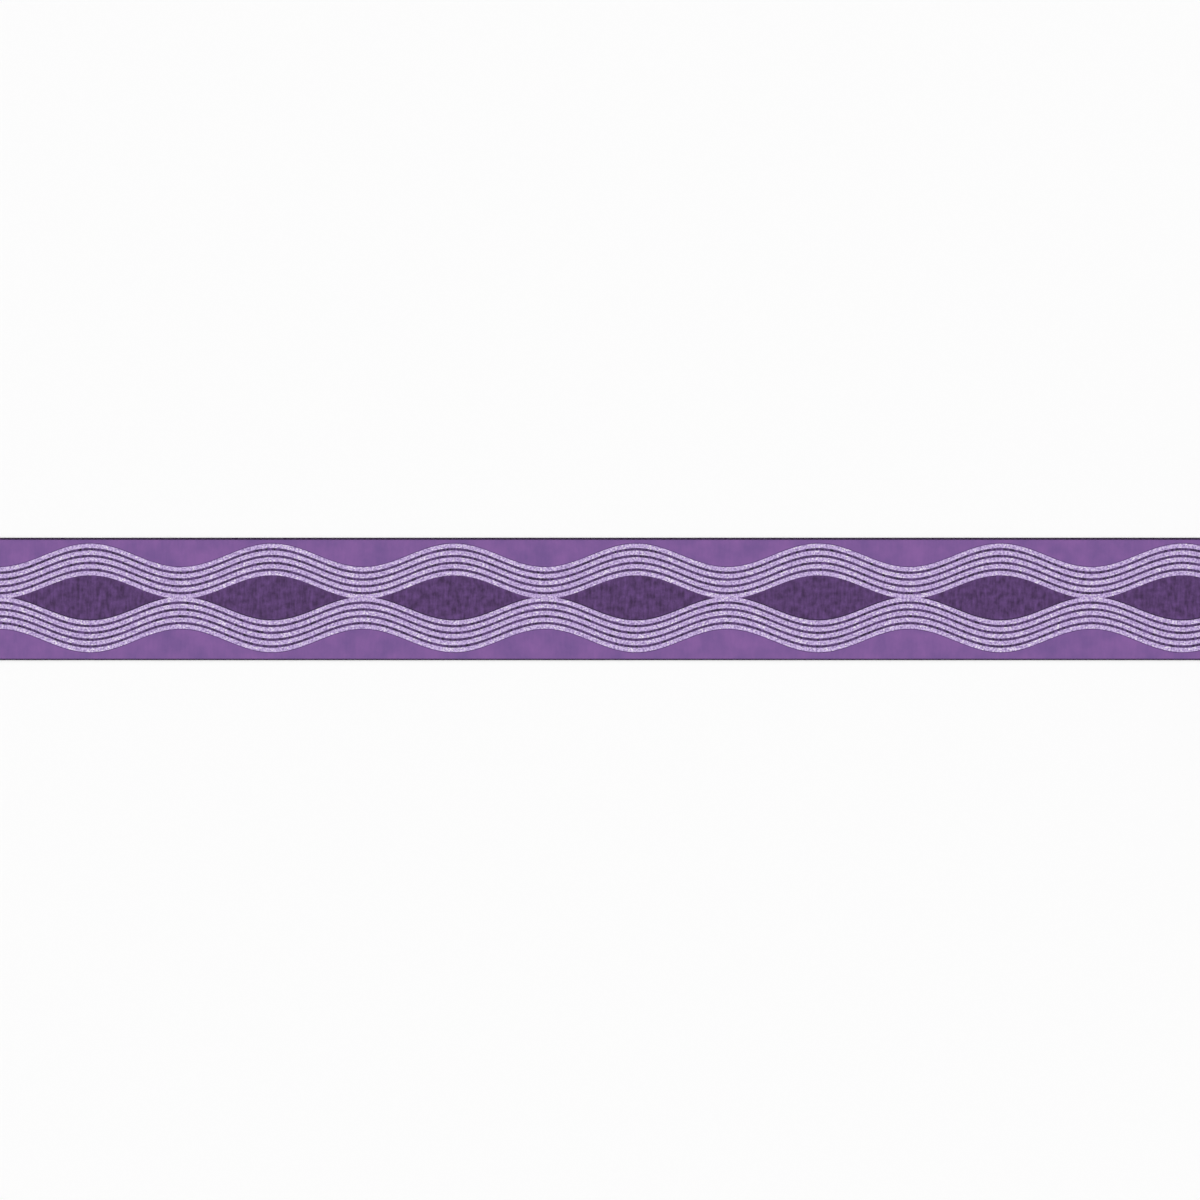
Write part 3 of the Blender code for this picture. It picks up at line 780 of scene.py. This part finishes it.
def swivelEye(node, away):
    # a ring eye on a necked stem, away pointing from the eye to its captive head
    low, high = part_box(node)
    eyeX = low.x + swivel["outer"] * mm if away > 0 else high.x - swivel["outer"] * mm
    end = (high.x - eyeX if away > 0 else eyeX - low.x) / mm
    edge, middle = swivel["edge"], 0.5 * (swivel["outer"] + swivel["hole"])
    outline = roundedSection(swivel["half"] - edge, swivel["outer"] - middle - edge, edge)
    section = [(along, middle + radius) for along, radius in outline]
    loop = turned(section, (eyeX, 0, axisHeight), "Z", 56, closed=True)
    head = 1.8 if away > 0 else 2.1
    face = swivel["outer"] + 0.5
    stem = [(face - 1.1, 0.0), (face - 1.0, 1.3), (face - 0.45, 1.45), (face - 0.25, 1.95), (face, 1.95),
            (face + 0.06, swivel["neck"] + 0.1), (face + 0.2, swivel["neck"])]
    stem += [(end - 1.0, swivel["neck"]), (end - 0.95, head - 0.1), (end - 0.85, head), (end - 0.3, head),
             (end, head - 0.4), (end, 0.0)]
    post = turned([(x * away, r) for x, r in stem], (eyeX, 0, axisHeight))
    return together(loop, post)


def splitRingShape():
    # two flat turns of wire side by side, with a slanting step from one to the other
    centre = 0.5 * (ringLow + ringHigh)
    reach = 0.5 * (ringHigh.x - ringLow.x) / mm - 0.5 * splitRing["high"]
    corner, cross = splitRing["corner"], splitRing["cross"]
    section = roundedSection(0.5 * splitRing["wire"] - corner, 0.5 * splitRing["high"] - corner, corner, 3)
    shape = bmesh.new()
    verts = [shape.verts.new((0.0, u * mm, (reach + v) * mm)) for u, v in section]
    geometry = [shape.faces.new(verts)]
    for degrees, shift in ((360 - cross, 0.0), (cross, -2 * splitRing["spread"]), (360 - cross, 0.0)):
        steps = max(8, degrees // 6)
        made = bmesh.ops.spin(shape, geom=geometry, cent=(0, 0, 0), dvec=(0, shift / steps, 0), axis=(0, 1, 0),
                              angle=radians(degrees), steps=steps, use_merge=False)
        geometry = made["geom_last"]
    tidied(shape)
    bmesh.ops.rotate(shape, verts=shape.verts, matrix=Matrix.Rotation(radians(0.5 * cross), 3, "Y"))
    bmesh.ops.translate(shape, verts=shape.verts, vec=centre + Vector((0, splitRing["spread"], 0)))
    return shape


addPiece("hook_eye_swivel", swivelEye("hook_swivel_eye", 1), [nickelPlate], "hook_eye", ["hook_swivel_eye"],
         smooth=50)
addPiece("tip_eye_swivel", swivelEye("tip_swivel_eye", -1), [nickelPlate], "tip_swivel", ["tip_swivel_eye"],
         smooth=50)
addPiece("split_ring", splitRingShape(), [nickelPlate], "ring", ["link_ring"], smooth=50)
print("hook, eyes and ring made")


# stick: tapered glass fibre rod, ferrule, grip sleeve, collar and cap

stick = {
    "butt": 4.0,
    "tip": 2.5,
    "taperFrom": 150.0,
    "grip": 5.0,
    "rib": 3.1,
    "ribDepth": 0.45,
    "bore": 4.2,
    "ferrule": 3.5,
    "ferruleBore": 2.72,
    "stemBore": 1.35,
    "crimps": (5.2, 7.4, 17.5),
    "crimpDepth": 0.3,
}
stickLine = Vector((0.0, 0.0, axisHeight))


# glass fibre rod in a gel coat: milky and glossy, with pale fibres showing lengthwise under a
# clear skin and a little pearl in it, its flakes drawn 0.6 mm across so that they show
def makeGelCoat():
    made, tree, shader = startMaterial("glassFibreGelCoat", Roughness=0.3, Coat_Weight=0.6, Coat_Roughness=0.08)
    own = addNode(tree, "TexCoord").outputs["Object"]
    along = addNode(tree, "Mapping", {"Scale": (60.0, 1600.0, 1600.0)}, {"Vector": own})
    fibres = addNode(tree, "TexNoise", {"Scale": 1.0, "Detail": 3.0}, {"Vector": along.outputs[0]})
    pearl = addNode(tree, "TexVoronoi", {"Scale": 1 / (0.6 * mm)}, {"Vector": own})
    flake = addNode(tree, "SeparateColor", None, {"Color": pearl.outputs["Color"]})
    both = addNode(tree, "Mix", {"Factor": 0.3}, {"A": fibres.outputs["Fac"], "B": flake.outputs[0]})
    tone = addNode(tree, "ValToRGB", None, {"Fac": both.outputs["Result"]},
                   [(0.25, "#B09FCA"), (0.75, "#CDC0DF")])
    tree.links.new(tone.outputs["Color"], shader.inputs["Base Color"])
    rough = addNode(tree, "MapRange", {"To Min": 0.24, "To Max": 0.38}, {"Value": fibres.outputs["Fac"]})
    tree.links.new(rough.outputs[0], shader.inputs["Roughness"])
    fine = addNode(tree, "Bump", {"Strength": 0.1, "Distance": 0.03 * mm}, {"Height": fibres.outputs["Fac"]})
    tree.links.new(fine.outputs[0], shader.inputs["Normal"])
    return made


# moulded rubber sleeve: matt and dark, a fine spark-eroded grain about 0.35 mm across, and ribs
# whose crests have gone a little paler and smoother from the hand
def makeGripRubber():
    made, tree, shader = startMaterial("gripRubberMoulded", Roughness=0.7, Specular_IOR_Level=0.35)
    own = addNode(tree, "TexCoord").outputs["Object"]
    grain = addNode(tree, "TexNoise", {"Scale": 1 / (0.35 * mm), "Detail": 2.0}, {"Vector": own})
    centred = addNode(tree, "Mapping", {"Location": (0.0, 0.0, -axisHeight), "Scale": (0.0, 1.0, 1.0)},
                      {"Vector": own})
    radius = addNode(tree, "VectorMath", None, {0: centred.outputs[0]}, operation="LENGTH")
    crest = addNode(tree, "MapRange", {"From Min": 4.6 * mm, "From Max": 5.0 * mm},
                    {"Value": radius.outputs["Value"]})
    patches = addNode(tree, "TexNoise", {"Scale": 1 / (9 * mm), "Detail": 4.0}, {"Vector": own})
    worn = addNode(tree, "Math", None, {0: crest.outputs[0], 1: patches.outputs["Fac"]}, operation="MULTIPLY")
    tone = addNode(tree, "ValToRGB", None, {"Fac": worn.outputs[0]}, [(0.1, "#2B1D40"), (0.75, "#4C3A66")])
    tree.links.new(tone.outputs["Color"], shader.inputs["Base Color"])
    rough = addNode(tree, "MapRange", {"To Min": 0.8, "To Max": 0.58}, {"Value": worn.outputs[0]})
    tree.links.new(rough.outputs[0], shader.inputs["Roughness"])
    fine = addNode(tree, "Bump", {"Strength": 0.3, "Distance": 0.05 * mm}, {"Height": grain.outputs["Fac"]})
    tree.links.new(fine.outputs[0], shader.inputs["Normal"])
    return made


# moulded polypropylene: waxy, with slow flow patches and a fine satin grain from the tool
def makeCapPlastic():
    made, tree, shader = startMaterial("polypropyleneMoulded", Roughness=0.42, Specular_IOR_Level=0.4)
    own = addNode(tree, "TexCoord").outputs["Object"]
    flow = addNode(tree, "TexNoise", {"Scale": 1 / (5 * mm), "Detail": 3.0}, {"Vector": own})
    tone = addNode(tree, "ValToRGB", None, {"Fac": flow.outputs["Fac"]}, [(0.3, "#3B2857"), (0.7, "#503A70")])
    tree.links.new(tone.outputs["Color"], shader.inputs["Base Color"])
    grain = addNode(tree, "TexNoise", {"Scale": 1 / (0.3 * mm), "Detail": 1.0}, {"Vector": own})
    rough = addNode(tree, "MapRange", {"To Min": 0.34, "To Max": 0.5}, {"Value": grain.outputs["Fac"]})
    tree.links.new(rough.outputs[0], shader.inputs["Roughness"])
    fine = addNode(tree, "Bump", {"Strength": 0.15, "Distance": 0.03 * mm}, {"Height": grain.outputs["Fac"]})
    tree.links.new(fine.outputs[0], shader.inputs["Normal"])
    return made


# moulded nylon, natural: off-white and slightly cloudy
def makeNylon():
    made, tree, shader = startMaterial("nylonMoulded", Roughness=0.45)
    own = addNode(tree, "TexCoord").outputs["Object"]
    cloud = addNode(tree, "TexNoise", {"Scale": 1 / (1.2 * mm), "Detail": 3.0}, {"Vector": own})
    tone = addNode(tree, "ValToRGB", None, {"Fac": cloud.outputs["Fac"]}, [(0.3, "#DCDAD0"), (0.7, "#EFEEE8")])
    tree.links.new(tone.outputs["Color"], shader.inputs["Base Color"])
    rough = addNode(tree, "MapRange", {"To Min": 0.38, "To Max": 0.52}, {"Value": cloud.outputs["Fac"]})
    tree.links.new(rough.outputs[0], shader.inputs["Roughness"])
    return made


gelCoat = makeGelCoat()
gripRubber = makeGripRubber()
capPlastic = makeCapPlastic()
nylon = makeNylon()


def shaftShape():
    start, end = shaftLow.x / mm, shaftHigh.x / mm
    taperFrom = capLow.x / mm + stick["taperFrom"]
    ferruleEnd = ferruleLow.x / mm
    profile = [(start, 0.0), (start, stick["butt"] - 0.5)]
    profile += roundCorner(start + 0.5, stick["butt"] - 0.5, 0.5, 180, 90)
    profile += [(taperFrom - 20, stick["butt"]), (taperFrom, stick["butt"] - 0.02)]
    for i in range(1, 25):
        share = i / 24
        profile.append((taperFrom + (ferruleEnd - 2 - taperFrom) * share,
                        stick["butt"] - 0.02 + (stick["tip"] + 0.1 - stick["butt"]) * share))
    profile += [(ferruleEnd, stick["tip"]), (end - 0.3, stick["tip"]), (end, stick["tip"] - 0.3), (end, 0.0)]
    return turned(profile, stickLine, steps=64)


def gripShape():
    # a plain band at each end, and rounded ribs between them
    start, end = sleeveLow.x / mm, sleeveHigh.x / mm
    top, band = stick["grip"], 5.0
    ribs = int((end - start - 2 * band) / stick["rib"])
    pitch = (end - start - 2 * band) / ribs
    profile = [(start, stick["bore"]), (start, top - 0.6), *roundCorner(start + 0.6, top - 0.6, 0.6, 180, 90)]
    for i in range(ribs):
        x = start + band + pitch * i
        low = top - stick["ribDepth"]
        profile += [(x, top), (x + 0.12, top - 0.08), (x + 0.3, low + 0.05), (x + 0.45, low), (x + 0.8, low),
                    (x + 0.95, low + 0.05), (x + 1.15, top - 0.1), (x + 1.4, top - 0.01)]
    profile += [(end - band, top), *roundCorner(end - 0.6, top - 0.6, 0.6, 90, 0), (end, stick["bore"])]
    return turned(profile, stickLine, steps=56, closed=True)


def collarShape():
    start, end = collarLow.x / mm, collarHigh.x / mm
    top, bore = stick["grip"] - 0.3, stick["bore"]
    profile = [(start, bore), (start, top - 0.25), *roundCorner(start + 0.25, top - 0.25, 0.25, 180, 90)]
    profile += [(start + 1.2, top), (start + 1.4, top - 0.15), (start + 1.7, top - 0.15), (start + 1.9, top)]
    for i in range(1, 9):
        share = i / 8
        profile.append((start + 2.2 + (end - start - 2.4) * share,
                        top - (top - bore - 0.18) * share * share * (1.6 - 0.6 * share)))
    profile += [(end, bore + 0.12), (end, bore)]
    return turned(profile, stickLine, steps=56, closed=True)


def capShape():
    # a push-on cap with a dished end and a moulded groove
    start, end = capLow.x / mm, capHigh.x / mm
    top, bore = stick["grip"], stick["bore"]
    profile = [(start + 0.35, 0.0), (start + 0.33, 1.0), (start + 0.2, 2.2), (start + 0.02, 3.1), (start, 3.5)]
    profile += roundCorner(start + 1.4, top - 1.4, 1.4, 180, 90, 7)
    profile += [(start + 6.6, top), (start + 6.75, top - 0.22), (start + 7.2, top - 0.22), (start + 7.35, top)]
    profile += [(end - 0.3, top), (end - 0.08, top - 0.08), (end, top - 0.3), (end, bore), (start + 2, bore)]
    profile += [(start + 2, 0.0)]
    return turned(profile, stickLine, steps=56)


def ferruleShape():
    # a drawn brass tube over the rod's end, rolled in at three places, its nose spun closed
    start, end = ferruleLow.x / mm, ferruleHigh.x / mm
    top = stick["ferrule"]
    profile = [(end, stick["stemBore"]), (end, top - 1.5), *roundCorner(end - 1.3, top - 1.3, 1.3, 0, 90, 6)]
    groove = ((0.7, 0.0), (0.45, 0.12), (0.2, 0.85), (0.0, 1.0), (-0.2, 0.85), (-0.45, 0.12), (-0.7, 0.0))
    for crimp in stick["crimps"]:
        profile += [(end - crimp + offset, top - stick["crimpDepth"] * share) for offset, share in groove]
    profile += [(start + 0.35, top), (start + 0.1, top - 0.1), (start, top - 0.35)]
    profile += [(start, stick["ferruleBore"]), (end - 2.5, stick["ferruleBore"])]
    profile += [(end - 2.5, stick["stemBore"])]
    return turned(profile, stickLine, steps=56, closed=True)


addPiece("shaft_rod", shaftShape(), [gelCoat], "stick", ["stick_shaft"])
addPiece("grip_ribbed", gripShape(), [gripRubber], "stick", ["grip_sleeve"], smooth=50)
addPiece("grip_taper", collarShape(), [capPlastic], "stick", ["grip_collar"], smooth=50)
addPiece("cap_moulded", capShape(), [capPlastic], "stick", ["butt_cap"], smooth=50)
addPiece("ferrule_crimped", ferruleShape(), [nickelPlate], "stick", ["tip_ferrule"], smooth=50)
for node, material in (("gate_spring", springSteel), ("swivel_washer", nylon)):
    for held in bpy.data.objects[node].material_slots:
        held.material = material
print("stick made")


# floor, light and camera

studio = {
    "floor": 60.0,
    "floorDown": 0.05 * mm,
    "paper": 0.97,
    "key": 1.565,
    "fill": 0.495,
    "low": 0.17,  # the room's shades, from the ground up
    "middle": 0.37,
    "high": 0.515,
    "lens": 150.0,
    "sensor": 36.0,
}


def addFloor():
    shape = bmesh.new()
    bmesh.ops.create_grid(shape, x_segments=1, y_segments=1, size=0.5 * studio["floor"])
    bmesh.ops.translate(shape, verts=shape.verts, vec=(0, 0, -studio["floorDown"]))
    mesh = bpy.data.meshes.new("floor")
    shape.to_mesh(mesh)
    shape.free()
    floor = bpy.data.objects.new("floor", mesh)
    bpy.context.scene.collection.objects.link(floor)
    made, tree, shader = startMaterial("paperFloor", Roughness=0.9, Specular_IOR_Level=0.1)
    shader.inputs["Base Color"].default_value = (*[studio["paper"]] * 3, 1)
    mesh.materials.append(made)


def addSun(name, strength, spread, direction):
    light = bpy.data.lights.new(name, "SUN")
    light.energy = strength
    light.angle = radians(spread)
    lamp = bpy.data.objects.new(name, light)
    lamp.rotation_euler = (-Vector(direction)).to_track_quat("-Z", "Y").to_euler()
    bpy.context.scene.collection.objects.link(lamp)


def addSky():
    # an even pale room, darker towards the ground so that metal has something to mirror
    world = bpy.data.worlds.new("studio")
    bpy.context.scene.world = world
    world.use_nodes = True
    tree = world.node_tree
    way = addNode(tree, "TexCoord").outputs["Generated"]
    up = addNode(tree, "SeparateXYZ", None, {"Vector": way})
    shades = [(0.0, studio["low"]), (0.9, studio["high"]), (0.3, studio["middle"])]
    band = addNode(tree, "ValToRGB", None, {"Fac": up.outputs["Z"]}, shades)
    eye = addNode(tree, "LightPath")
    mixed = addNode(tree, "MixRGB", {"Color2": (*[studio["paper"]] * 3, 1)},
                    {"Fac": eye.outputs["Is Camera Ray"], "Color1": band.outputs["Color"]})
    tree.links.new(mixed.outputs[0], tree.nodes["Background"].inputs["Color"])


def addCamera():
    lens = bpy.data.cameras.new("camera")
    lens.lens = studio["lens"]
    lens.sensor_width = studio["sensor"]
    lens.clip_end = 200.0
    camera = bpy.data.objects.new("camera", lens)
    camera.location = (shownMiddle, -shown["rise"], shown["width"] * lens.lens / lens.sensor_width)
    bpy.context.scene.collection.objects.link(camera)
    bpy.context.scene.camera = camera


addFloor()
addSky()
addSun("key", studio["key"], 70, (-0.35, -0.5, 1.0))
addSun("fill", studio["fill"], 90, (0.3, 0.6, 1.0))
addCamera()
bpy.context.scene.view_settings.view_transform = "Standard"
print("floor, light and camera made")
